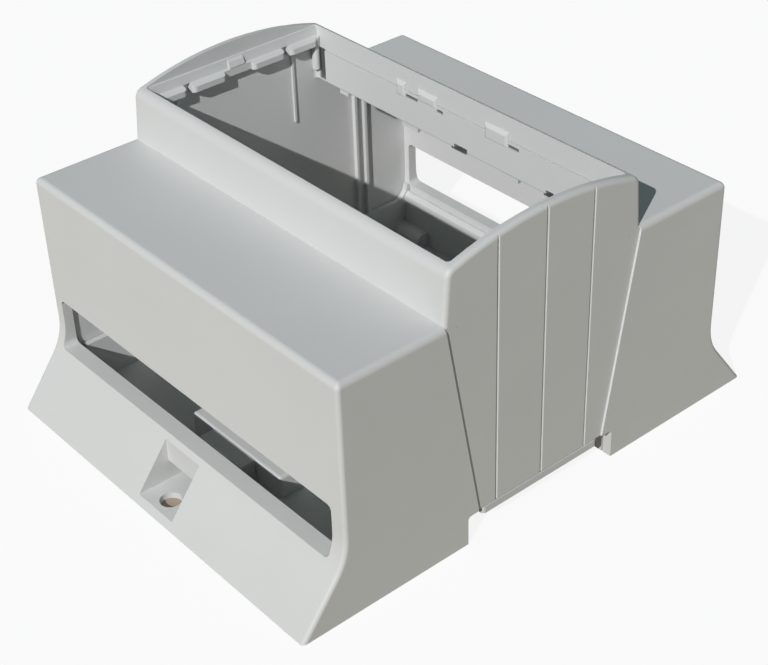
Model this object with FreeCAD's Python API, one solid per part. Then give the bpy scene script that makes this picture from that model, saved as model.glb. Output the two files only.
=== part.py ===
import FreeCAD, Part
import math
import os

from FreeCAD import Vector

# The enclosure stands on z = 0 with the rail running along X, its two feet front (-Y) and back (+Y)
# and the open display window on top. The origin is the centre of the footprint. Sizes are in millimetres.

# Outer form of the housing
length = 88.0
body_width = 90.0
foot_reach = 10.0
flare_height = 13.0
flare_radius = 12.0
shoulder_height = 48.0
shoulder_edge_radius = 1.2
raised_width = 45.6
raised_lean = 0.8
raised_rise = 9.8
arch_rise = 3.5
raised_corner_radius = 2.0
end_edge_radius = 0.8
arch_edge_radius = 0.9

# Walls and the end panel
wall = 2.0
foot_wall = 3.2
inner_flare_radius = 2.0
shoulder_wall = 1.2
collar_wall = 2.75
collar_corner_radius = 0.8
panel_recess = 0.4
panel_foot_width = 30.8
groove_pitch = 11.0
groove_width = 0.55
groove_depth = 0.35

# Terminal slots in the two long sides; the back one sits a little higher
front_sill_height = 11.6
front_slot_top = 22.2
back_sill_height = 13.3
back_slot_top = 23.4
slot_jamb = 1.35
slot_near_jamb = 0.7
slot_corner_radius = 1.1

# Rail channel, made for a 35 mm rail with flanges 1 mm thick
rail_width = 35.0
rail_side_play = 0.5
rail_flange = 1.0
rail_seat_height = 4.5
rail_grip = 1.3
hook_thickness = 2.1
flange_play = 0.2
notch_radius = 0.8

# Wall-fixing lugs with their screw recesses
recess_width = 10.4
recess_wall = 1.6
recess_reach = 8.0
lug_thickness = 1.35
lug_top_drop = 1.2
tunnel_height = 5.5
screw_inset = 4.4
screw_hole = 4.2

# Seat of the front panel round the window
seat_drop = 4.2
seat_depth = 0.2
seat_draft = 0.2
chord_rise = 0.4
chord_step = 0.3
band_depth = 0.75
band_drop = 1.8
lip_depth = 1.2
tab_depth = 2.2
tab_drop = 2.3
tab_thickness = 1.15
tab_root_drop = 0.5
tab_length = 7.7
tab_gap = 1.5
end_tab_length = 6.55
end_tab_inset = 1.0
tab_corner_radius = 0.8
nose_width = 3.6
nose_projection = 0.5
nose_top_drop = 0.15
nose_height = 1.6
post_diameter = 1.65
post_top_drop = 2.1
post_height = 7.2
post_chamfer = 0.35
post_inset = 0.5
post_reach = 0.75
relief_start = 1.2
relief_width = 1.8
relief_depth = 1.9
relief_rise = 0.3

# Snap noses, windows, notches and pads on the back collar, as (start, end) along X;
# a nose also has its drop below the seat. The front collar is the same turned by half a turn.
clip_spans = [(-17.0, -14.4, 1.4), (-10.9, -5.5, 0.6), (7.6, 13.7, 1.4)]
window_spans = [(-14.4, -10.9), (-5.5, -3.8), (13.7, 16.5)]
notch_spans = [(-0.8, 2.8), (23.4, 25.4)]
pad_spans = [(-34.6, -32.0), (-15.6, -11.0), (11.8, 16.4)]
clip_projection = 0.35
clip_face = 0.9
clip_height = 1.7
clip_taper = 0.6
window_drop = 0.55
window_height = 0.7
window_skin = 0.7
window_depth = 1.9
notch_rise = 0.8
pad_drop = 0.9
pad_thickness = 1.0

# Ribs on the end walls
board_slot = 1.9
board_slot_centre = 30.4
guide_rib = 0.6
guide_rib_depth = 0.95
thin_rib = 0.5
thin_rib_depth = 0.4
thin_rib_inset = 6.15
thin_rib_top_drop = 4.3
thin_rib_length = 15.0
web_thickness = 1.4
web_pitch = 16.0
web_count = 2
web_top_drop = 0.6

# Base tray, with its back wall the highest
fit_gap = 0.25
tray_wall = 1.2
tray_floor = 1.4
tray_back_height = 11.8
tray_back_chamfer = 0.8
tray_front_height = 9.2
tray_end_height = 10.3
plateau_thickness = 1.7
channel_wall = 1.6
lip_width = 28.6
lip_reach = 0.15
lip_gap = 0.2
lip_corner_radius = 0.7
riser_height = 3.2
riser_width = 3.8
catch_width = 8.0
catch_height = 2.0
catch_depth = 0.5
catch_centre = 30.0
catch_level = 6.4
pad_length = 7.8
pad_width = 3.6
pad_height = 3.6
hook_length = 16.0
hook_centre = 14.0

# Sliding rail latch and the hood that holds it
hood_width = 27.0
hood_setback = 5.7
hood_wall = 1.2
hood_edge_radius = 0.7
latch_gap = 0.2
latch_ledge = 1.4
latch_ledge_thickness = 1.0
latch_roof = 1.6
latch_travel = 2.4
tail_width = 12.6
tail_wall = 1.6
tail_seam = 0.1
tail_pocket_width = 8.4
tail_pocket_depth = 1.5
arm_width = 1.1
arm_gap = 0.9
arm_nose = 0.7
arm_nose_length = 2.0
lead_in = 1.1

# How far a rib is sunk into its wall, and how far a cut runs past a face
sunk = 0.4
past = 1.0

# Values that follow from the sizes above
half_length = length / 2
inner_half_length = half_length - wall
raised_corner_height = shoulder_height + raised_rise
arch_height = raised_corner_height + arch_rise
chord_height = raised_corner_height + chord_rise
sky = arch_height + wall
half_body = body_width / 2
foot_width = body_width + 2 * foot_reach
flare_slope = foot_reach / flare_height
flare_wall = foot_wall / math.cos(math.atan(flare_slope))
inner_half_width = half_body - wall
inner_kink_height = (foot_width / 2 - flare_wall - inner_half_width) / flare_slope
raised_rim_width = raised_width - 2 * raised_lean
collar_half = raised_width / 2 - collar_wall
seat_height = raised_corner_height - seat_drop
seat_half = collar_half + seat_depth
collar_bottom = shoulder_height - shoulder_wall
band_bottom = chord_height - band_drop
tab_top = chord_height - tab_drop
tab_bottom = tab_top - tab_thickness
post_top = chord_height - post_top_drop
end_tab_centre = collar_half - end_tab_inset - end_tab_length / 2
tab_centre = end_tab_centre - end_tab_length / 2 - tab_gap - tab_length / 2
thin_rib_centre = collar_half - thin_rib_inset
post_centre = collar_half - post_inset
lug_top = front_sill_height - lug_top_drop
channel_half = (rail_width + 2 * rail_side_play) / 2
plateau_top = rail_seat_height + plateau_thickness
notch_height = plateau_top - lip_gap / 2


def flare_at(height):
    """Half width of the outer face of the flare at a height."""
    return foot_width / 2 - height * flare_slope


tray_half_width = inner_half_width - fit_gap
tray_half_length = inner_half_length - fit_gap
tray_inner_half = tray_half_width - tray_wall
lug_inner = tray_half_width + fit_gap
hood_reach = tray_inner_half - hood_setback
tail_end = tray_inner_half - latch_travel - fit_gap
latch_top = rail_seat_height - rail_flange - flange_play
latch_floor = latch_ledge_thickness + latch_gap / 2
hood_ceiling = plateau_top - latch_roof
latch_half = hood_width / 2 - hood_wall - latch_gap
latch_body_end = hood_reach - hood_wall - latch_travel - arm_gap - arm_nose_length - latch_gap


def block(x, y, z):
    """A box given by its three pairs of limits."""
    size = [high - low for low, high in (x, y, z)]
    return Part.makeBox(*size, Vector(x[0], y[0], z[0]))


def prism_x(points, low, high):
    """A profile of (y, z) points drawn along X."""
    corners = [Vector(low, y, z) for y, z in points]
    face = Part.Face(Part.makePolygon(corners + corners[:1]))
    return face.extrude(Vector(high - low, 0, 0))


def prism_y(points, low, high):
    """A profile of (x, z) points drawn along Y."""
    corners = [Vector(x, low, z) for x, z in points]
    face = Part.Face(Part.makePolygon(corners + corners[:1]))
    return face.extrude(Vector(0, high - low, 0))


def prism_z(points, low, high):
    """A plan of (x, y) points drawn along Z."""
    corners = [Vector(x, y, low) for x, y in points]
    face = Part.Face(Part.makePolygon(corners + corners[:1]))
    return face.extrude(Vector(0, 0, high - low))


def mirrored(shape, normal):
    """A copy on the other side of the middle plane with this normal."""
    return shape.mirror(Vector(0, 0, 0), normal)


def both_ends(shape):
    """The shape and its twin at the other end of the enclosure."""
    return [shape, mirrored(shape, Vector(1, 0, 0))]


def both_sides(shape):
    """The shape and its twin on the other long side."""
    return [shape, mirrored(shape, Vector(0, 1, 0))]


def four_corners(shape):
    """The shape at each of the four corners."""
    return [copy for side in both_sides(shape) for copy in both_ends(side)]


def half_turn(shape):
    """The shape and its twin turned half a turn about the upright axis."""
    twin = shape.copy()
    twin.rotate(Vector(0, 0, 0), Vector(0, 0, 1), 180)
    return [shape, twin]


def fillet_where(shape, radius, test):
    """Rounds each straight or curved edge whose two end points pass the test."""
    chosen = [edge for edge in shape.Edges if all(test(vertex.Point) for vertex in edge.Vertexes)]
    return shape.makeFillet(radius, chosen)


def near(value, target):
    """Whether two lengths agree to a hundredth of a millimetre."""
    return abs(value - target) < 0.01


def symmetric(points):
    """A profile closed by the mirror image of its points."""
    return points + [(-y, z) for y, z in reversed(points)]


# Housing: the outer solid
def lower_body():
    """The flared feet and shoulders, with rounded long edges and ends."""
    side = [(foot_width / 2, 0), (half_body, flare_height), (half_body, shoulder_height)]
    body = prism_x(symmetric(side), -half_length, half_length)
    body = fillet_where(body, flare_radius, lambda p: near(p.z, flare_height))
    body = fillet_where(body, shoulder_edge_radius, lambda p: near(p.z, shoulder_height))
    ends = [edge for edge in body.Edges if edge_on_end(edge)]
    return body.makeFillet(end_edge_radius, ends)


def edge_on_end(edge):
    """Whether an edge runs round an end face, apart from the one along the bottom."""
    box = edge.BoundBox
    flat = near(box.XMin, box.XMax) and near(abs(box.XMin), half_length)
    return flat and box.ZMax > 0.01


def raised_body():
    """The raised middle under the arch."""
    root = shoulder_height - shoulder_wall / 2
    reach = half_length - panel_recess
    lean = raised_lean / raised_rise
    foot = raised_width / 2 + lean * shoulder_wall / 2
    corner = raised_rim_width / 2
    left = Vector(-reach, -corner, raised_corner_height)
    right = Vector(-reach, corner, raised_corner_height)
    edges = [
        Part.Arc(left, Vector(-reach, 0, arch_height), right).toShape(),
        Part.makeLine(right, Vector(-reach, foot, root)),
        Part.makeLine(Vector(-reach, foot, root), Vector(-reach, -foot, root)),
        Part.makeLine(Vector(-reach, -foot, root), left),
    ]
    body = Part.Face(Part.Wire(edges)).extrude(Vector(2 * reach, 0, 0))
    long_edges = [edge for edge in body.Edges if edge.BoundBox.XLength > reach]
    corners = [edge for edge in long_edges if edge.BoundBox.ZMin > shoulder_height]
    body = body.makeFillet(raised_corner_radius, corners)
    cross_edges = [edge for edge in body.Edges if near(edge.BoundBox.XLength, 0)]
    ends = [edge for edge in cross_edges if edge.BoundBox.ZMax > shoulder_height]
    return body.makeFillet(arch_edge_radius, ends)


def panel_cuts():
    """The shallow trapezoid on each end that meets the shoulders along two slanted lines."""
    foot, head = panel_foot_width / 2, raised_width / 2
    top = shoulder_height + wall
    side = [(foot, -past), (foot, notch_height), (head, shoulder_height), (head, top)]
    cut = prism_x(symmetric(side), half_length - panel_recess, half_length + past)
    return both_ends(cut)


def groove_cuts():
    """Three upright V grooves on each end panel."""
    cuts = []
    face = half_length - panel_recess
    for number in (-1, 0, 1):
        centre = number * groove_pitch
        corners = [
            Vector(face, centre - groove_width / 2, 0),
            Vector(face, centre + groove_width / 2, 0),
            Vector(face - groove_depth, centre, 0),
        ]
        cut = Part.Face(Part.makePolygon(corners + corners[:1])).extrude(Vector(0, 0, sky))
        cuts += both_ends(cut)
    return cuts


# Housing: hollows and openings
def window_corners(hollow):
    """Rounds the upright corners of the part of a hollow that makes the window."""
    chosen = []
    for edge in hollow.Edges:
        box = edge.BoundBox
        if box.ZLength > wall and max(abs(box.YMin), abs(box.YMax)) < raised_rim_width / 2:
            chosen.append(edge)
    return hollow.makeFillet(collar_corner_radius, chosen)


def interior():
    """The room inside, open below and through the window on top."""
    side = [
        (flare_at(-past) - flare_wall, -past),
        (inner_half_width, inner_kink_height),
        (inner_half_width, collar_bottom),
        (collar_half, collar_bottom),
        (collar_half, sky),
    ]
    room = prism_x(symmetric(side), -inner_half_length, inner_half_length)
    room = fillet_where(room, inner_flare_radius, lambda p: near(p.z, inner_kink_height))
    return window_corners(room)


def panel_seat():
    """The slightly drafted room of the front panel, over the collars of the long sides."""
    side = [(seat_half, seat_height), (seat_half + seat_draft, sky)]
    return window_corners(prism_x(symmetric(side), -inner_half_length, inner_half_length))


def terminal_slot(sill, top):
    """A long slot over the front foot, nearly as long as the room behind it."""
    x = (-inner_half_length + slot_near_jamb, inner_half_length - slot_jamb)
    y = (-foot_width / 2, -inner_half_width + past)
    slot = block(x, y, (sill, top))
    ends = [edge for edge in slot.Edges if edge.BoundBox.YLength > wall]
    return slot.makeFillet(slot_corner_radius, ends)


def rail_notch():
    """The way through both end walls for the rail."""
    x = (-half_length - past, half_length + past)
    notch = block(x, (-channel_half, channel_half), (-past, notch_height))
    return fillet_where(notch, notch_radius, lambda p: near(p.z, notch_height))


# Housing: what stands on the inner faces of the end walls
def end_band():
    """The thicker band across an end wall at the foot of the arch."""
    face = inner_half_length
    profile = [
        (face + sunk, chord_height),
        (face - chord_step, chord_height),
        (face - band_depth, band_bottom),
        (face, tab_top),
        (face + sunk, tab_top),
    ]
    reach = seat_half + sunk
    return prism_y(profile, -reach, reach).common(raised_body())


def end_shelf(depth, centre, width):
    """A shelf that slopes out from the band to a depth."""
    face = inner_half_length
    slope = (band_bottom - tab_top) / (tab_depth - band_depth)
    profile = [
        (face + sunk, band_bottom),
        (face - band_depth, band_bottom),
        (face - depth, band_bottom - slope * (depth - band_depth)),
        (face - depth, tab_bottom),
        (face, tab_bottom - tab_root_drop),
        (face + sunk, tab_bottom - tab_root_drop),
    ]
    return prism_y(profile, centre - width / 2, centre + width / 2)


def end_tab(centre, width):
    """One thick tab under the band, with rounded corners."""
    tab = end_shelf(tab_depth, centre, width)
    tip = inner_half_length - tab_depth
    corners = [edge for edge in tab.Edges if near(edge.BoundBox.XMax, tip) and edge.BoundBox.ZLength > sunk]
    return tab.makeFillet(tab_corner_radius, corners)


def end_nose():
    """The snap nose in the middle of the band."""
    face = inner_half_length
    top = chord_height - nose_top_drop
    bottom = top - nose_height
    profile = [
        (face + sunk, top),
        (face - chord_step, top),
        (face - chord_step - nose_projection, top - nose_projection),
        (face - band_depth - nose_projection, bottom),
        (face + sunk, bottom),
    ]
    return prism_y(profile, -nose_width / 2, nose_width / 2)


def end_post():
    """The round post that hangs in a corner of the window, chamfered at its foot."""
    radius = post_diameter / 2
    bottom = post_top - post_height
    post = Part.makeCylinder(radius, post_height, Vector(inner_half_length - post_reach, post_centre, bottom))
    foot = [edge for edge in post.Edges if near(edge.BoundBox.ZMax, bottom)]
    return post.makeChamfer(post_chamfer, foot)


def guide_ribs():
    """The pair of ribs that takes the edge of a circuit board."""
    face = inner_half_length
    ribs = []
    for side in (-1, 1):
        centre = board_slot_centre + side * (board_slot + guide_rib) / 2
        y = (centre - guide_rib / 2, centre + guide_rib / 2)
        z = (tray_end_height + fit_gap, collar_bottom + sunk)
        ribs.append(block((face - guide_rib_depth, face + sunk), y, z))
    return ribs


def thin_end_rib():
    """The short thin rib under the tabs."""
    top = chord_height - thin_rib_top_drop
    y = (thin_rib_centre - thin_rib / 2, thin_rib_centre + thin_rib / 2)
    x = (inner_half_length - thin_rib_depth, inner_half_length + sunk)
    return block(x, y, (top - thin_rib_length, top))


def end_wall_details():
    """All that stands on the two end walls, apart from the posts."""
    middle_width = 2 * tab_centre - tab_length + 2 * tab_corner_radius
    corner_start = end_tab_centre + end_tab_length / 2 - tab_corner_radius
    corner_width = seat_half + sunk - corner_start
    parts = both_ends(end_band()) + both_ends(end_nose())
    parts += both_ends(end_shelf(lip_depth, 0, middle_width))
    parts += four_corners(end_tab(tab_centre, tab_length))
    parts += four_corners(end_tab(end_tab_centre, end_tab_length))
    parts += four_corners(end_shelf(lip_depth, corner_start + corner_width / 2, corner_width))
    parts += four_corners(thin_end_rib())
    for rib in guide_ribs():
        parts += four_corners(rib)
    return parts


def collar_noses():
    """Low snap noses with tapered ends on the back collar, for the front panel."""
    noses = []
    proud = collar_half - clip_projection
    for start, end, hang in clip_spans:
        low = seat_height - hang
        side = [
            (seat_half + sunk, seat_height + clip_height),
            (seat_half, seat_height + clip_height),
            (proud, seat_height + clip_face),
            (proud, low + clip_projection),
            (collar_half, low),
            (seat_half + sunk, low),
        ]
        plan = [
            (start, seat_half + sunk),
            (start, collar_half),
            (start + clip_taper, proud),
            (end - clip_taper, proud),
            (end, collar_half),
            (end, seat_half + sunk),
        ]
        nose = prism_x(side, start, end)
        noses.append(nose.common(prism_z(plan, low, seat_height + clip_height)))
    return noses


def collar_windows():
    """Small windows beside the noses, each with a slot behind it, and notches along the lower edge."""
    y = (collar_half - past, collar_half + window_depth)
    slot_y = (collar_half + window_skin, collar_half + window_depth)
    low = seat_height - window_drop
    cuts = [block(span, y, (low - window_height, low)) for span in window_spans]
    cuts += [block(span, slot_y, (collar_bottom - wall, low)) for span in window_spans]
    cuts += [block(span, y, (collar_bottom - past, collar_bottom + notch_rise)) for span in notch_spans]
    return cuts


def collar_pads():
    """Short pads that hang from the lower edge of the back collar."""
    y = (collar_half, collar_half + pad_thickness)
    z = (collar_bottom - pad_drop, collar_bottom + sunk)
    return [block(span, y, z) for span in pad_spans]


def corner_reliefs():
    """The upright slits beside the corner posts."""
    x = (inner_half_length - relief_start - relief_width, inner_half_length - relief_start)
    y = (collar_half - past, collar_half + relief_depth)
    return four_corners(block(x, y, (collar_bottom + relief_rise, seat_height + relief_rise)))


# Housing: lugs and webs in the feet
def lug_solid():
    """The block that carries the screw recess, from the flare to the tray."""
    half = recess_width / 2 + recess_wall
    side = [
        (-flare_at(0) + sunk, 0),
        (-lug_inner, 0),
        (-lug_inner, lug_top),
        (-flare_at(lug_top) + sunk, lug_top),
    ]
    return prism_x(side, -half, half)


def recess_cut():
    """The recess from the flare back to an upright wall, and the low tunnel behind it."""
    x = (-recess_width / 2, recess_width / 2)
    front = -foot_width / 2 - past
    back = -foot_width / 2 + recess_reach
    inside = -lug_inner + past
    pocket = block(x, (front, back), (lug_thickness, front_sill_height))
    tunnel = block(x, (back - past, inside), (lug_thickness, tunnel_height))
    behind = block(x, (back + recess_wall, inside), (lug_thickness, lug_top - recess_wall))
    screw = Vector(0, -foot_width / 2 + screw_inset, -past)
    hole = Part.makeCylinder(screw_hole / 2, lug_thickness + 2 * past, screw)
    return pocket.fuse([tunnel, behind, hole])


def foot_webs():
    """Upright webs that stiffen the hollow feet."""
    webs = []
    top = front_sill_height - web_top_drop
    side = [(-lug_inner, 0), (-lug_inner, top), (-flare_at(top) + sunk, top), (-flare_at(0) + sunk, 0)]
    for number in range(1, web_count + 1):
        for sign in (-1, 1):
            centre = sign * number * web_pitch
            webs.append(prism_x(side, centre - web_thickness / 2, centre + web_thickness / 2))
    return webs


def catch_pockets():
    """Blind pockets in the end walls for the noses of the tray."""
    x = (inner_half_length - past, inner_half_length + catch_depth + fit_gap)
    y = (catch_centre - catch_width / 2 - fit_gap, catch_centre + catch_width / 2 + fit_gap)
    return four_corners(block(x, y, (catch_level - fit_gap, catch_level + catch_height + fit_gap)))


def make_housing():
    """The housing, one moulding."""
    outside = lower_body().fuse(raised_body())
    outside = outside.cut(panel_cuts() + groove_cuts()).removeSplitter()
    shell = outside.cut([interior(), panel_seat()])
    lugs = half_turn(lug_solid())
    webs = [copy for web in foot_webs() for copy in half_turn(web)]
    collar = [copy for piece in collar_noses() + collar_pads() for copy in half_turn(piece)]
    shell = shell.fuse(lugs + webs + end_wall_details() + collar)
    cuts = [rail_notch(), terminal_slot(front_sill_height, front_slot_top)]
    cuts += half_turn(terminal_slot(back_sill_height, back_slot_top))[1:]
    cuts += corner_reliefs() + catch_pockets() + half_turn(recess_cut())
    for window in collar_windows():
        cuts += half_turn(window)
    return shell.cut(cuts).fuse(four_corners(end_post())).removeSplitter()


# Base tray
def tray_body():
    """The tray with its stepped floor over the rail channel, and walls of three heights."""
    x = (-tray_half_length, tray_half_length)
    inner_x = (-tray_half_length + tray_wall, tray_half_length - tray_wall)
    inner = tray_inner_half
    step_half = channel_half + channel_wall
    tray = block(x, (-tray_half_width, tray_half_width), (0, tray_back_height))
    rooms = [
        block(inner_x, (step_half, inner), (tray_floor, sky)),
        block(inner_x, (-inner, -step_half), (tray_floor, sky)),
        block(inner_x, (-inner, inner), (plateau_top, sky)),
    ]
    channel = block((-half_length, half_length), (-channel_half, channel_half), (-past, rail_seat_height))
    front_trim = block((-half_length, half_length), (-half_body, -inner), (tray_front_height, sky))
    end_trims = both_ends(block((inner_x[1], half_length), (-half_body, inner), (tray_end_height, sky)))
    bevel = [
        (inner - sunk, tray_back_height - tray_back_chamfer - sunk),
        (inner + tray_back_chamfer + sunk, tray_back_height + sunk),
        (inner - sunk, tray_back_height + sunk),
    ]
    return tray.cut(rooms + [channel, front_trim, prism_x(bevel, *inner_x)] + end_trims)


def end_lips():
    """The edges of the plateau that show under the end panels."""
    tip = half_length - panel_recess + lip_reach
    x = (tray_half_length - tray_wall, tip)
    lip = block(x, (-lip_width / 2, lip_width / 2), (rail_seat_height, notch_height - lip_gap))
    outer = [edge for edge in lip.Edges if near(edge.BoundBox.XMin, tip)]
    upright = [edge for edge in outer if edge.BoundBox.ZLength > lip_gap]
    return both_ends(lip.makeFillet(lip_corner_radius, upright))


def corner_risers():
    """The swept-up back corners of the end walls of the tray."""
    x = (tray_half_length - tray_wall, tray_half_length)
    y = (tray_half_width - riser_width, tray_half_width)
    top = tray_end_height + riser_height
    riser = block(x, y, (tray_end_height - past, top))
    hollow = Part.makeCylinder(riser_height, 2 * tray_wall, Vector(x[0] - sunk, y[0], top), Vector(1, 0, 0))
    return both_ends(riser.cut(hollow))


def catches():
    """The wedge noses that hold the tray in the housing."""
    face = tray_half_length
    profile = [
        (face - sunk, catch_level),
        (face, catch_level),
        (face + catch_depth, catch_level + catch_depth),
        (face + catch_depth, catch_level + catch_height - 2 * catch_depth),
        (face, catch_level + catch_height),
        (face - sunk, catch_level + catch_height),
    ]
    return four_corners(prism_y(profile, catch_centre - catch_width / 2, catch_centre + catch_width / 2))


def board_pads():
    """The round-topped pads in the corners of the tray."""
    end = tray_half_length - tray_wall
    y = (tray_inner_half - pad_width, tray_inner_half + sunk)
    top = tray_floor + pad_height
    pad = block((end - pad_length, end + sunk), y, (tray_floor - sunk, top))
    edges = [edge for edge in pad.Edges if near(edge.BoundBox.ZMin, top) and near(edge.BoundBox.YMax, y[0])]
    return four_corners(pad.makeFillet(pad_width * 0.6, edges))


def hook_profile(root):
    """The section of a rail hook from its root to its tip, chamfered below to lead on to the rail."""
    tip = rail_width / 2 - rail_grip
    bottom = latch_top - hook_thickness
    low_side = [(tip, bottom + lead_in), (tip + lead_in, bottom), (root, bottom)]
    return [(root, latch_top), (tip, latch_top)] + low_side


def fixed_hooks():
    """The two fixed hooks on the back wall of the rail channel."""
    start = hook_centre - hook_length / 2
    return both_ends(prism_x(hook_profile(channel_half + sunk), start, start + hook_length))


def latch_hood():
    """The hood on the tray floor over the latch, with rounded edges."""
    hood = block((-hood_width / 2, hood_width / 2), (-hood_reach, -channel_half), (0, plateau_top))
    edges = []
    for edge in hood.Edges:
        box = edge.BoundBox
        front = near(box.YMin, -hood_reach)
        top = near(box.ZMin, plateau_top)
        upright = box.ZLength > wall
        side = near(abs(box.XMin), hood_width / 2) and near(box.XMin, box.XMax)
        if (front and (top or upright) and near(box.YMax, -hood_reach)) or (top and side):
            edges.append(edge)
    return hood.makeFillet(hood_edge_radius, edges)


def latch_way():
    """The way that the latch slides in, open to the channel, below and to the front, with its arm pockets."""
    inner = hood_width / 2 - hood_wall
    end = hood_reach - hood_wall
    y = (-end, -channel_half + past)
    room = block((-inner, inner), y, (latch_ledge_thickness, hood_ceiling))
    inner_low = inner - latch_ledge
    below = block((-inner_low, inner_low), y, (-past, latch_ledge_thickness))
    half_tail = tail_width / 2 + latch_gap
    tail = block((-half_tail, half_tail), (-tray_half_width - past, -end + past), (-past, hood_ceiling))
    stop = -latch_body_end - arm_gap
    pocket_x = (inner - sunk, latch_half + arm_nose + latch_gap)
    pocket_y = (stop - arm_nose_length - latch_travel - latch_gap, stop + latch_gap)
    pocket = block(pocket_x, pocket_y, (latch_floor, latch_top + latch_gap))
    return [room, below, tail] + both_ends(pocket)


def make_base():
    """The base tray, one moulding."""
    additions = [latch_hood()] + end_lips() + corner_risers() + catches() + board_pads() + fixed_hooks()
    return tray_body().fuse(additions).cut(latch_way()).removeSplitter()


# Rail latch
def latch_arm():
    """A springy side arm with the nose that runs in the pocket of the hood and stops the travel."""
    end = -latch_body_end - arm_gap - arm_nose_length
    arm = block((latch_half - arm_width, latch_half), (end, -latch_body_end + past), (latch_floor, latch_top))
    nose_z = (latch_floor + latch_gap, latch_top - latch_gap)
    nose = block((latch_half - sunk, latch_half + arm_nose), (end, end + arm_nose_length), nose_z)
    return arm.fuse(nose)


def make_latch():
    """The sliding latch with its hook, side arms and lever tail."""
    keel = latch_half - latch_ledge
    top = hood_ceiling - latch_gap
    front = -channel_half - latch_gap
    y = (-latch_body_end, front)
    body = block((-latch_half, latch_half), y, (latch_floor, top))
    body = body.fuse(block((-keel, keel), y, (latch_gap, latch_floor)))
    hook = mirrored(prism_x(hook_profile(channel_half + past), -keel, keel), Vector(0, 1, 0))
    half_tail = tail_width / 2
    shank = block((-half_tail, half_tail), (-tail_end, -latch_body_end + past), (latch_gap, latch_top))
    grip_y = (-tail_end, -hood_reach - tail_seam)
    grip = block((-half_tail, half_tail), grip_y, (latch_gap, plateau_top))
    latch = body.fuse([hook, shank, grip] + both_ends(latch_arm()))
    pocket_half = tail_pocket_width / 2
    pocket_y = (-tail_end - past, -tail_end + tail_pocket_depth)
    pocket_z = (lug_thickness + latch_gap, tunnel_height - latch_gap)
    pocket = block((-pocket_half, pocket_half), pocket_y, pocket_z)
    hollow_half = half_tail - tail_wall
    hollow_y = (-latch_body_end + tail_wall, front - tail_wall)
    hollow_z = (latch_top - hook_thickness + tail_wall, top + past)
    hollow = block((-hollow_half, hollow_half), hollow_y, hollow_z)
    return latch.cut([pocket, hollow]).removeSplitter()


def main():
    """Builds every piece and writes one file for each."""
    os.makedirs("parts", exist_ok=True)
    pieces = {"housing": make_housing(), "base_tray": make_base(), "rail_latch": make_latch()}
    for name, shape in pieces.items():
        shape.exportStep("parts/" + name + ".step")
        counts = (len(shape.Solids), "solid", len(shape.Faces), "faces")
        print(name, *counts, round(shape.Volume, 1), shape.isValid())


main()
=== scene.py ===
import math

import bmesh
import bpy
from bpy.props import FloatProperty, FloatVectorProperty, PointerProperty
from mathutils import Matrix, Vector


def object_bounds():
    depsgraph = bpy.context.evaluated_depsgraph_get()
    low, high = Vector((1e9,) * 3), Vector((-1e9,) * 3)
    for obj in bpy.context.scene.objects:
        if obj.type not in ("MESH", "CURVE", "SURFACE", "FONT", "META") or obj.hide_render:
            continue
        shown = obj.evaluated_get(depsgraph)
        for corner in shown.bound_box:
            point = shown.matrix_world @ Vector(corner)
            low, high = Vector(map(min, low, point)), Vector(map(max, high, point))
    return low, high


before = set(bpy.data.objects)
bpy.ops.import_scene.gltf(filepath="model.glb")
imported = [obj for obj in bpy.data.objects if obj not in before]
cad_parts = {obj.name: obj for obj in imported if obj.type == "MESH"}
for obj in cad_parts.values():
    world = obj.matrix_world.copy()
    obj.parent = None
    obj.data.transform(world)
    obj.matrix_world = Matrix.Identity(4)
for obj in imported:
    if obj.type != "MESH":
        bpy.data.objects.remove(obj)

bl_info = {
    "name": "Din rail enclosure",
    "version": (1, 0, 0),
    "blender": (4, 5, 0),
    "location": "View3D > Sidebar > Enclosure",
    "description": "Finishes the moulded pieces of a din rail enclosure and sets its studio",
    "category": "Object",
}

CAD_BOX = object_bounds()
RAIL_CHANNEL_HALF = 0.02

# Where the collar round the window lies, in metres, and the painted shade in its windows, slits and along
# its edges
COLLAR_FACE = 0.02006
COLLAR_BACK = 0.02197
COLLAR_END = 0.0418
COLLAR_BOTTOM = 0.04685
SEAT_LINE_TOP = 0.0538
RECESS_FADE = 0.0005
LOWER_EDGE = 0.00012
LOWER_EDGE_SHADE = 0.4
# Colour painted into the collar's windows and slits as shade
PAINTED_SHADE_COLOUR = (0.22, 0.228, 0.224, 1.0)

# Scales of the faint changes of shade in the plastic
PATCH_SCALE = 55.0
FLOW_STRETCH = (14.0, 26.0, 40.0)
PALEST = 1.03
DARKEST = 0.97

# The floor's half width, its gap under the feet and the rim of the feet that it shows, in metres
FLOOR_HALF = 6.0
FLOOR_GAP = 0.0001
FOOT_RIM = 0.001

# The key lamp and the camera
KEY_DIRECTION = (0.357, -0.736, 0.5755)
KEY_COLOUR = (0.99, 0.985, 0.995)
CAMERA_LENS = 78.33
CAMERA_PLACE = (0.204731, -0.167438, 0.197490)
CAMERA_AROUND, CAMERA_ABOVE, CAMERA_ROLL = (math.radians(angle) for angle in (50.596, 34.720, 2.081))


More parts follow.
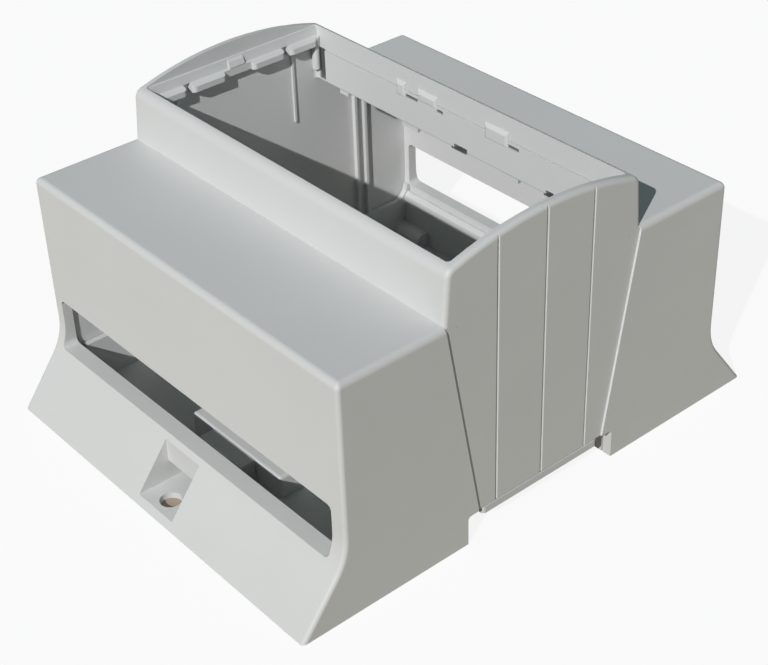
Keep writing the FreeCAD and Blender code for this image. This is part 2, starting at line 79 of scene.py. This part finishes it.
class MouldedPlastic(bpy.types.PropertyGroup):
    """Colours and surface of the moulded pieces."""

    housing_colour: FloatVectorProperty(
        name="Housing colour", description="Light grey of the housing", subtype="COLOR",
        default=(0.68, 0.685, 0.675), min=0, max=1)
    tray_colour: FloatVectorProperty(
        name="Tray colour", description="Light grey of the base tray", subtype="COLOR",
        default=(0.65, 0.66, 0.65), min=0, max=1)
    latch_colour: FloatVectorProperty(
        name="Latch colour", description="Light grey of the rail latch", subtype="COLOR",
        default=(0.66, 0.668, 0.655), min=0, max=1)
    grain_size: FloatProperty(
        name="Grain size", description="Spacing of the fine spark-eroded grain", subtype="DISTANCE",
        unit="LENGTH", default=0.00032)
    grain_depth: FloatProperty(
        name="Grain depth", description="Depth of the fine grain", subtype="DISTANCE",
        unit="LENGTH", default=0.000012)
    edge_radius: FloatProperty(
        name="Edge radius", description="Rounding that a mould leaves on every edge", subtype="DISTANCE",
        unit="LENGTH", default=0.00002)


class StudioStage(bpy.types.PropertyGroup):
    """Floor, lamps and background."""

    floor_colour: FloatVectorProperty(
        name="Floor colour", description="Pale floor under the enclosure", subtype="COLOR",
        default=(0.86, 0.86, 0.86), min=0, max=1)
    bounce_colour: FloatVectorProperty(
        name="Bounce colour", description="Colour of the floor in the light that it throws back",
        subtype="COLOR", default=(0.26, 0.20, 0.10), min=0, max=1)
    under_colour: FloatVectorProperty(
        name="Under colour", description="Colour of the floor that shows through the screw holes",
        subtype="COLOR", default=(0.41, 0.335, 0.27), min=0, max=1)
    floor_glow: FloatProperty(
        name="Floor glow", description="Share of plain white that the floor shows", subtype="FACTOR",
        default=0.89, min=0, max=1)
    key_strength: FloatProperty(name="Key strength", description="Strength of the key lamp", default=2.83)
    key_softness: FloatProperty(
        name="Key softness", description="Width of the key lamp as seen from the enclosure",
        subtype="ANGLE", unit="ROTATION", default=math.radians(0.6))
    fill_colour: FloatVectorProperty(
        name="Fill colour", description="Cool tint of the even fill from above", subtype="COLOR",
        default=(0.75, 0.95, 1.0), min=0, max=1)
    fill_strength: FloatProperty(
        name="Fill strength", description="Strength of the even fill", default=0.145)
    under_fill: FloatProperty(
        name="Under fill", description="Strength of the even fill that reaches the undersides of the feet",
        default=0.145)


# Shared shader groups
def new_group(name, inputs, outputs):
    """An empty node group with the sockets given as (name, type, default)."""
    group = bpy.data.node_groups.new(name, "ShaderNodeTree")
    for label, kind, value in inputs:
        socket = group.interface.new_socket(label, in_out="INPUT", socket_type=kind)
        socket.default_value = value
    for label, kind in outputs:
        group.interface.new_socket(label, in_out="OUTPUT", socket_type=kind)
    enter = group.nodes.new("NodeGroupInput")
    leave = group.nodes.new("NodeGroupOutput")
    return group, enter, leave


def math_node(group, operation, first, second, clamp=False):
    """One Math node; each operand is a socket or a number."""
    node = group.nodes.new("ShaderNodeMath")
    node.operation = operation
    node.use_clamp = clamp
    for socket, value in zip(node.inputs, (first, second)):
        if isinstance(value, bpy.types.NodeSocket):
            group.links.new(value, socket)
        else:
            socket.default_value = value
    return node.outputs[0]


def spark_grain():
    """The fine even grain that spark erosion leaves on a mould, as a height and a faint change of shade."""
    group, enter, leave = new_group(
        "spark_grain",
        [("Size", "NodeSocketFloat", 0.0003), ("Patchiness", "NodeSocketFloat", 0.3)],
        [("Height", "NodeSocketFloat"), ("Shade", "NodeSocketFloat")],
    )
    place = group.nodes.new("ShaderNodeTexCoord")
    density = math_node(group, "DIVIDE", 1.0, enter.outputs["Size"])
    fine = group.nodes.new("ShaderNodeTexNoise")
    fine.inputs["Detail"].default_value = 2.0
    fine.inputs["Roughness"].default_value = 0.6
    group.links.new(place.outputs["Object"], fine.inputs["Vector"])
    group.links.new(density, fine.inputs["Scale"])
    pits = group.nodes.new("ShaderNodeTexVoronoi")
    pits.inputs["Randomness"].default_value = 1.0
    group.links.new(place.outputs["Object"], pits.inputs["Vector"])
    group.links.new(math_node(group, "MULTIPLY", density, 0.7), pits.inputs["Scale"])
    height = math_node(group, "ADD", fine.outputs["Fac"], pits.outputs["Distance"])
    group.links.new(math_node(group, "MULTIPLY", height, 0.5), leave.inputs["Height"])
    patches = group.nodes.new("ShaderNodeTexNoise")
    patches.inputs["Scale"].default_value = PATCH_SCALE
    patches.inputs["Detail"].default_value = 3.0
    group.links.new(place.outputs["Object"], patches.inputs["Vector"])
    spread = math_node(group, "SUBTRACT", patches.outputs["Fac"], 0.5)
    spread = math_node(group, "MULTIPLY", spread, enter.outputs["Patchiness"])
    group.links.new(math_node(group, "ADD", spread, 0.5, clamp=True), leave.inputs["Shade"])
    return group


def mould_flow():
    """Broad, very faint bands where the plastic flowed as it filled the mould."""
    group, enter, leave = new_group(
        "mould_flow",
        [("Strength", "NodeSocketFloat", 0.5)],
        [("Shade", "NodeSocketFloat")],
    )
    place = group.nodes.new("ShaderNodeTexCoord")
    stretch = group.nodes.new("ShaderNodeMapping")
    stretch.inputs["Scale"].default_value = FLOW_STRETCH
    group.links.new(place.outputs["Object"], stretch.inputs["Vector"])
    bands = group.nodes.new("ShaderNodeTexNoise")
    bands.inputs["Scale"].default_value = 1.0
    bands.inputs["Detail"].default_value = 4.0
    bands.inputs["Distortion"].default_value = 0.8
    group.links.new(stretch.outputs["Vector"], bands.inputs["Vector"])
    spread = math_node(group, "SUBTRACT", bands.outputs["Fac"], 0.5)
    spread = math_node(group, "MULTIPLY", spread, enter.outputs["Strength"])
    group.links.new(math_node(group, "ADD", spread, 0.5, clamp=True), leave.inputs["Shade"])
    return group


def painted_recess_shade():
    """Mask of painted shade: 1 deep in the windows and slits of the collar, less on its two long edges, 0
    on open faces.
    """
    group, enter, leave = new_group("painted_recess_shade", [], [("Mask", "NodeSocketFloat")])
    place = group.nodes.new("ShaderNodeTexCoord")
    axes = group.nodes.new("ShaderNodeSeparateXYZ")
    group.links.new(place.outputs["Object"], axes.inputs[0])
    # Painted shade deepens over RECESS_FADE behind the collar's face, in its windows, slits and along its
    # seat ledge
    across = math_node(group, "ABSOLUTE", axes.outputs["Y"], 0.0)
    depth = math_node(group, "SUBTRACT", across, COLLAR_FACE)
    mask = math_node(group, "DIVIDE", depth, RECESS_FADE, clamp=True)
    limits = (
        (math_node(group, "ABSOLUTE", axes.outputs["X"], 0.0), "LESS_THAN", COLLAR_END),
        (across, "LESS_THAN", COLLAR_BACK),
        (axes.outputs["Z"], "LESS_THAN", SEAT_LINE_TOP),
        (axes.outputs["Z"], "GREATER_THAN", COLLAR_BOTTOM),
    )
    for value, test, limit in limits:
        mask = math_node(group, "MULTIPLY", mask, math_node(group, test, value, limit))
    # A thin painted shade line along the collar's lower edge
    edge = math_node(group, "COMPARE", axes.outputs["Z"], COLLAR_BOTTOM)
    edge.node.inputs[2].default_value = LOWER_EDGE
    face = math_node(group, "COMPARE", across, COLLAR_FACE)
    face.node.inputs[2].default_value = LOWER_EDGE
    edge = math_node(group, "MULTIPLY", edge, math_node(group, "MULTIPLY", face, LOWER_EDGE_SHADE))
    group.links.new(math_node(group, "MAXIMUM", mask, edge), leave.inputs["Mask"])
    return group


def add_group(tree, group, **values):
    """A group node with its own values."""
    node = tree.nodes.new("ShaderNodeGroup")
    node.node_tree = group
    for label, value in values.items():
        node.inputs[label].default_value = value
    return node


def moulded_material(name, colour, settings, roughness=0.52, grain=1.0):
    """Matt moulded plastic with its grain, faint flow bands, softly rounded edges and painted shade in the
    collar's recesses.
    """
    material = bpy.data.materials.new(name)
    material.use_nodes = True
    tree = material.node_tree
    shader = tree.nodes["Principled BSDF"]
    shader.inputs["Metallic"].default_value = 0.0
    shader.inputs["IOR"].default_value = 1.5
    shader.inputs["Specular IOR Level"].default_value = 0.42
    groups = bpy.data.node_groups
    grain_node = add_group(tree, groups["spark_grain"], Size=settings.grain_size, Patchiness=0.5)
    flow_node = add_group(tree, groups["mould_flow"], Strength=0.9)
    shade = tree.nodes.new("ShaderNodeMath")
    shade.operation = "ADD"
    tree.links.new(grain_node.outputs["Shade"], shade.inputs[0])
    tree.links.new(flow_node.outputs["Shade"], shade.inputs[1])
    tone = tree.nodes.new("ShaderNodeMapRange")
    tone.inputs["From Min"].default_value = 0.6
    tone.inputs["From Max"].default_value = 1.4
    tone.inputs["To Min"].default_value = 0.0
    tone.inputs["To Max"].default_value = 1.0
    tree.links.new(shade.outputs[0], tone.inputs["Value"])
    paint = tree.nodes.new("ShaderNodeMix")
    paint.data_type = "RGBA"
    paint.inputs["A"].default_value = (*[channel * DARKEST for channel in colour], 1.0)
    paint.inputs["B"].default_value = (*[min(channel * PALEST, 1.0) for channel in colour], 1.0)
    tree.links.new(tone.outputs["Result"], paint.inputs["Factor"])
    # Painted shade: the collar's windows, slits and edges are darkened in the base colour
    painted_shade_mix = tree.nodes.new("ShaderNodeMix")
    painted_shade_mix.data_type = "RGBA"
    painted_shade_mix.inputs["B"].default_value = PAINTED_SHADE_COLOUR
    tree.links.new(add_group(tree, groups["painted_recess_shade"]).outputs["Mask"], painted_shade_mix.inputs["Factor"])
    tree.links.new(paint.outputs["Result"], painted_shade_mix.inputs["A"])
    tree.links.new(painted_shade_mix.outputs["Result"], shader.inputs["Base Color"])
    gloss = tree.nodes.new("ShaderNodeMapRange")
    gloss.inputs["To Min"].default_value = roughness - 0.05
    gloss.inputs["To Max"].default_value = roughness + 0.07
    tree.links.new(grain_node.outputs["Height"], gloss.inputs["Value"])
    tree.links.new(gloss.outputs["Result"], shader.inputs["Roughness"])
    edges = tree.nodes.new("ShaderNodeBevel")
    edges.samples = 6
    edges.inputs["Radius"].default_value = settings.edge_radius
    bump = tree.nodes.new("ShaderNodeBump")
    bump.inputs["Strength"].default_value = 0.55 * grain
    bump.inputs["Distance"].default_value = settings.grain_depth
    tree.links.new(grain_node.outputs["Height"], bump.inputs["Height"])
    tree.links.new(edges.outputs["Normal"], bump.inputs["Normal"])
    tree.links.new(bump.outputs["Normal"], shader.inputs["Normal"])
    return material


def dress(node, material):
    """Gives a CAD node its material."""
    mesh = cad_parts[node].data
    mesh.materials.clear()
    mesh.materials.append(material)


class ENCLOSURE_OT_shader_groups(bpy.types.Operator):
    """Build the shader groups that the moulded pieces share"""

    bl_idname = "enclosure.shader_groups"
    bl_label = "Shader groups"

    def execute(self, context):
        spark_grain()
        mould_flow()
        painted_recess_shade()
        return {"FINISHED"}


class ENCLOSURE_OT_housing(bpy.types.Operator):
    """Finish the housing in matt light grey"""

    bl_idname = "enclosure.housing"
    bl_label = "Housing"

    def execute(self, context):
        settings = context.scene.enclosure_plastic
        dress("housing", moulded_material("housing_plastic", settings.housing_colour, settings))
        return {"FINISHED"}


class ENCLOSURE_OT_base_tray(bpy.types.Operator):
    """Finish the base tray, which is a little smoother than the housing"""

    bl_idname = "enclosure.base_tray"
    bl_label = "Base tray"

    def execute(self, context):
        settings = context.scene.enclosure_plastic
        material = moulded_material(
            "tray_plastic", settings.tray_colour, settings, roughness=0.46, grain=0.6)
        dress("base_tray", material)
        return {"FINISHED"}


class ENCLOSURE_OT_rail_latch(bpy.types.Operator):
    """Finish the sliding rail latch"""

    bl_idname = "enclosure.rail_latch"
    bl_label = "Rail latch"

    def execute(self, context):
        settings = context.scene.enclosure_plastic
        material = moulded_material(
            "latch_plastic", settings.latch_colour, settings, roughness=0.44, grain=0.5)
        dress("rail_latch", material)
        return {"FINISHED"}


def footprint_mask(tree):
    """1 on the floor under the feet of the enclosure, 0 round them and in the rail channel."""
    place = tree.nodes.new("ShaderNodeTexCoord")
    axes = tree.nodes.new("ShaderNodeSeparateXYZ")
    tree.links.new(place.outputs["Object"], axes.inputs[0])
    along = math_node(tree, "ABSOLUTE", axes.outputs["X"], 0.0)
    across = math_node(tree, "ABSOLUTE", axes.outputs["Y"], 0.0)
    mask = math_node(tree, "LESS_THAN", along, CAD_BOX[1][0] - FOOT_RIM)
    for test, limit in (("LESS_THAN", CAD_BOX[1][1] - FOOT_RIM), ("GREATER_THAN", RAIL_CHANNEL_HALF)):
        mask = math_node(tree, "MULTIPLY", mask, math_node(tree, test, across, limit))
    return mask


def floor_material(stage):
    """A pale floor that keeps the shadow, shows plain white from above and is clear from beneath."""
    material = bpy.data.materials.new("studio_floor")
    material.use_nodes = True
    tree = material.node_tree
    shader = tree.nodes["Principled BSDF"]
    shader.inputs["Roughness"].default_value = 0.9
    shader.inputs["Specular IOR Level"].default_value = 0.0
    glow = tree.nodes.new("ShaderNodeEmission")
    glow.inputs["Color"].default_value = (1.0, 1.0, 1.0, 1.0)
    glow.inputs["Strength"].default_value = 1.0
    path = tree.nodes.new("ShaderNodeLightPath")
    seen = tree.nodes.new("ShaderNodeMath")
    seen.operation = "MAXIMUM"
    tree.links.new(path.outputs["Is Camera Ray"], seen.inputs[0])
    tree.links.new(path.outputs["Is Glossy Ray"], seen.inputs[1])
    footprint = footprint_mask(tree)
    hidden = tree.nodes.new("ShaderNodeMix")
    hidden.data_type = "RGBA"
    hidden.inputs["A"].default_value = (*stage.bounce_colour, 1.0)
    hidden.inputs["B"].default_value = (*stage.under_colour, 1.0)
    under_seen = math_node(tree, "MULTIPLY", footprint, seen.outputs[0])
    tree.links.new(under_seen, hidden.inputs["Factor"])
    tint = tree.nodes.new("ShaderNodeMix")
    tint.data_type = "RGBA"
    tree.links.new(hidden.outputs["Result"], tint.inputs["A"])
    tint.inputs["B"].default_value = (*stage.floor_colour, 1.0)
    shown = math_node(tree, "MULTIPLY", math_node(tree, "SUBTRACT", 1.0, footprint), seen.outputs[0])
    unseen = math_node(tree, "MULTIPLY", footprint, math_node(tree, "SUBTRACT", 1.0, seen.outputs[0]))
    tree.links.new(shown, tint.inputs["Factor"])
    tree.links.new(tint.outputs["Result"], shader.inputs["Base Color"])
    share = math_node(tree, "MULTIPLY", shown, stage.floor_glow)
    mix = tree.nodes.new("ShaderNodeMixShader")
    tree.links.new(share, mix.inputs["Fac"])
    tree.links.new(shader.outputs["BSDF"], mix.inputs[1])
    tree.links.new(glow.outputs["Emission"], mix.inputs[2])
    under = tree.nodes.new("ShaderNodeEmission")
    under.inputs["Color"].default_value = (*stage.fill_colour, 1.0)
    tree.links.new(math_node(tree, "MULTIPLY", unseen, stage.under_fill), under.inputs["Strength"])
    lit = tree.nodes.new("ShaderNodeAddShader")
    tree.links.new(mix.outputs["Shader"], lit.inputs[0])
    tree.links.new(under.outputs["Emission"], lit.inputs[1])
    side = tree.nodes.new("ShaderNodeNewGeometry")
    clear = tree.nodes.new("ShaderNodeBsdfTransparent")
    one_sided = tree.nodes.new("ShaderNodeMixShader")
    tree.links.new(side.outputs["Backfacing"], one_sided.inputs["Fac"])
    tree.links.new(lit.outputs["Shader"], one_sided.inputs[1])
    tree.links.new(clear.outputs["BSDF"], one_sided.inputs[2])
    tree.links.new(one_sided.outputs["Shader"], tree.nodes["Material Output"].inputs["Surface"])
    return material


class ENCLOSURE_OT_stage(bpy.types.Operator):
    """Lay the pale floor and set the lamps, the even fill and the camera"""

    bl_idname = "enclosure.stage"
    bl_label = "Stage"

    def execute(self, context):
        scene = context.scene
        stage = scene.enclosure_stage
        scene.view_settings.view_transform = "Standard"

        mesh = bpy.data.meshes.new("floor")
        shape = bmesh.new()
        bmesh.ops.create_grid(shape, x_segments=1, y_segments=1, size=FLOOR_HALF)
        bmesh.ops.translate(shape, vec=(0, 0, CAD_BOX[0][2] - FLOOR_GAP), verts=shape.verts)
        shape.to_mesh(mesh)
        shape.free()
        floor = bpy.data.objects.new("floor", mesh)
        mesh.materials.append(floor_material(stage))
        scene.collection.objects.link(floor)

        lamp = bpy.data.lights.new("key", "SUN")
        lamp.energy = stage.key_strength
        lamp.angle = stage.key_softness
        lamp.color = KEY_COLOUR
        key = bpy.data.objects.new("key", lamp)
        toward = Vector(KEY_DIRECTION)
        key.rotation_euler = toward.to_track_quat("Z", "Y").to_euler()
        key.location = toward * 2
        scene.collection.objects.link(key)

        world = bpy.data.worlds.new("studio")
        scene.world = world
        world.use_nodes = True
        tree = world.node_tree
        fill = tree.nodes["Background"]
        fill.inputs["Color"].default_value = (*stage.fill_colour, 1.0)
        fill.inputs["Strength"].default_value = stage.fill_strength
        white = tree.nodes.new("ShaderNodeBackground")
        white.inputs["Color"].default_value = (1.0, 1.0, 1.0, 1.0)
        white.inputs["Strength"].default_value = 1.0
        path = tree.nodes.new("ShaderNodeLightPath")
        mix = tree.nodes.new("ShaderNodeMixShader")
        tree.links.new(path.outputs["Is Camera Ray"], mix.inputs["Fac"])
        tree.links.new(fill.outputs["Background"], mix.inputs[1])
        tree.links.new(white.outputs["Background"], mix.inputs[2])
        tree.links.new(mix.outputs["Shader"], tree.nodes["World Output"].inputs["Surface"])

        camera_data = bpy.data.cameras.new("camera")
        camera_data.sensor_width = 36.0
        camera_data.lens = CAMERA_LENS
        camera_data.clip_start = 0.01
        camera = bpy.data.objects.new("camera", camera_data)
        level = math.cos(CAMERA_ABOVE)
        back = Vector((
            math.sin(CAMERA_AROUND) * level, -math.cos(CAMERA_AROUND) * level, math.sin(CAMERA_ABOVE)))
        right = Vector((math.cos(CAMERA_AROUND), math.sin(CAMERA_AROUND), 0))
        up = back.cross(right)
        turned_right = right * math.cos(CAMERA_ROLL) - up * math.sin(CAMERA_ROLL)
        turned_up = right * math.sin(CAMERA_ROLL) + up * math.cos(CAMERA_ROLL)
        turn = Matrix((turned_right, turned_up, back)).transposed()
        camera.matrix_world = Matrix.Translation(CAMERA_PLACE) @ turn.to_4x4()
        scene.collection.objects.link(camera)
        scene.camera = camera
        return {"FINISHED"}


class ENCLOSURE_PT_panel(bpy.types.Panel):
    """Lists the pieces of the enclosure and the stage"""

    bl_idname = "ENCLOSURE_PT_panel"
    bl_label = "Enclosure"
    bl_space_type = "VIEW_3D"
    bl_region_type = "UI"
    bl_category = "Enclosure"

    def draw(self, context):
        layout = self.layout
        for operator in OPERATORS:
            layout.operator(operator.bl_idname)
        for group in (context.scene.enclosure_plastic, context.scene.enclosure_stage):
            box = layout.box()
            for name in group.__annotations__:
                box.prop(group, name)


OPERATORS = (
    ENCLOSURE_OT_shader_groups,
    ENCLOSURE_OT_housing,
    ENCLOSURE_OT_base_tray,
    ENCLOSURE_OT_rail_latch,
    ENCLOSURE_OT_stage,
)
CLASSES = (MouldedPlastic, StudioStage) + OPERATORS + (ENCLOSURE_PT_panel,)


def register():
    for item in CLASSES:
        bpy.utils.register_class(item)
    bpy.types.Scene.enclosure_plastic = PointerProperty(type=MouldedPlastic)
    bpy.types.Scene.enclosure_stage = PointerProperty(type=StudioStage)


def unregister():
    del bpy.types.Scene.enclosure_stage
    del bpy.types.Scene.enclosure_plastic
    for item in reversed(CLASSES):
        bpy.utils.unregister_class(item)


def main():
    """Runs every step in order."""
    register()
    bpy.ops.enclosure.shader_groups()
    bpy.ops.enclosure.housing()
    bpy.ops.enclosure.base_tray()
    bpy.ops.enclosure.rail_latch()
    bpy.ops.enclosure.stage()


if __name__ == "__main__":
    main()
